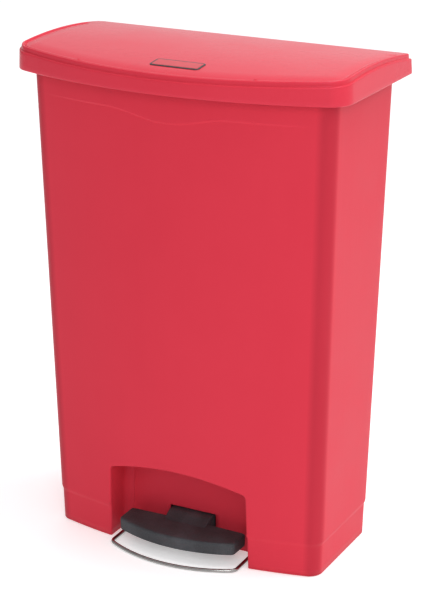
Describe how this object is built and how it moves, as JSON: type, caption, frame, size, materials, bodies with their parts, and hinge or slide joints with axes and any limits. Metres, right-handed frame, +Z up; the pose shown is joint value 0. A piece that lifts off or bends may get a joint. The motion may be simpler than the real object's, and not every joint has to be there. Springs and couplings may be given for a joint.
{
  "type": "biohazard waste bin",
  "caption": "Slim bow-fronted step-on waste bin: tapered red body, overhanging hinged lid, black pedal in an arched recess, wire floor loop.",
  "frame": {"origin": "on the floor under the middle of the closed bin's overall box", "axes": "+X to the right as seen from the front, +Y to the back, +Z up; the pedal and the bowed front face -Y"},
  "size_m": [0.57, 0.3179, 0.826],
  "materials": {
    "body_plastic": "fine satin moulded",
    "lid_plastic": "semi-gloss moulded",
    "badge": "plain enamel plate",
    "zinc_steel": "zinc plated",
    "screw_steel": "zinc plated",
    "pin_steel": "ground",
    "polished_wire": "polished",
    "foot_rubber": "matt",
    "inner_plastic": "satin moulded",
    "bearing_plastic": "natural acetal",
    "damper_black": "satin",
    "tread_plastic": "fine textured"
  },
  "bodies": {
    "root": {"outer_shell": "body_plastic", "base_plate": "zinc_steel", "base_plate_screws": "screw_steel", "rubber_feet": "foot_rubber", "floor_loop": "polished_wire", "loop_clamps": "zinc_steel", "loop_clamp_screws": "screw_steel", "pivot_bracket_left": "zinc_steel", "pivot_bracket_right": "zinc_steel", "pivot_bracket_screws": "screw_steel", "pedal_pivot_pin": "pin_steel", "pivot_pin_clips": "pin_steel", "rod_cover": "inner_plastic", "rod_cover_screws": "screw_steel", "rod_guide_lower": "bearing_plastic", "rod_guide_upper": "bearing_plastic", "hinge_block_left": "inner_plastic", "hinge_block_right": "inner_plastic", "hinge_block_screws": "screw_steel", "hinge_pins": "pin_steel", "damper_cylinder": "damper_black", "damper_bracket": "bearing_plastic"},
    "lid": {"lid_shell": "lid_plastic", "lid_badge": "badge", "hinge_arm_left": "inner_plastic", "hinge_arm_right": "inner_plastic", "hinge_arm_screws": "screw_steel", "lid_lever": "zinc_steel", "lid_lever_screws": "screw_steel", "lid_bumpers": "foot_rubber"},
    "pedal": {"pedal_tread": "tread_plastic", "pedal_arm": "zinc_steel", "tread_screws": "screw_steel", "pivot_bushes": "bearing_plastic"},
    "lift": {"lift_rod": "pin_steel", "rod_head_clevis": "zinc_steel", "rod_foot_clevis": "zinc_steel", "lever_pin": "pin_steel", "foot_pin": "pin_steel", "damper_piston_rod": "pin_steel", "damper_clamp": "zinc_steel"}
  },
  "joints": [
    {"name": "lid_hinge", "type": "hinge", "parent": "root", "child": "lid", "pos_m": [0, 0.133, 0.77], "axis": [-1, 0, 0], "range_deg": [0, 80]},
    {"name": "lift_rod_slide", "type": "slide", "parent": "root", "child": "lift", "axis": [0, 0, 1], "range_m": [0, 0.02581]},
    {"name": "pedal_pivot", "type": "hinge", "parent": "root", "child": "pedal", "pos_m": [0, -0.022, 0.035], "axis": [1, 0, 0], "range_deg": [0, 11]}
  ],
  "couplings": [
    {"joint": "lift_rod_slide", "follows": "lid_hinge", "m_per_rad": 0.018482},
    {"joint": "pedal_pivot", "follows": "lid_hinge", "ratio": 0.1375}
  ]
}
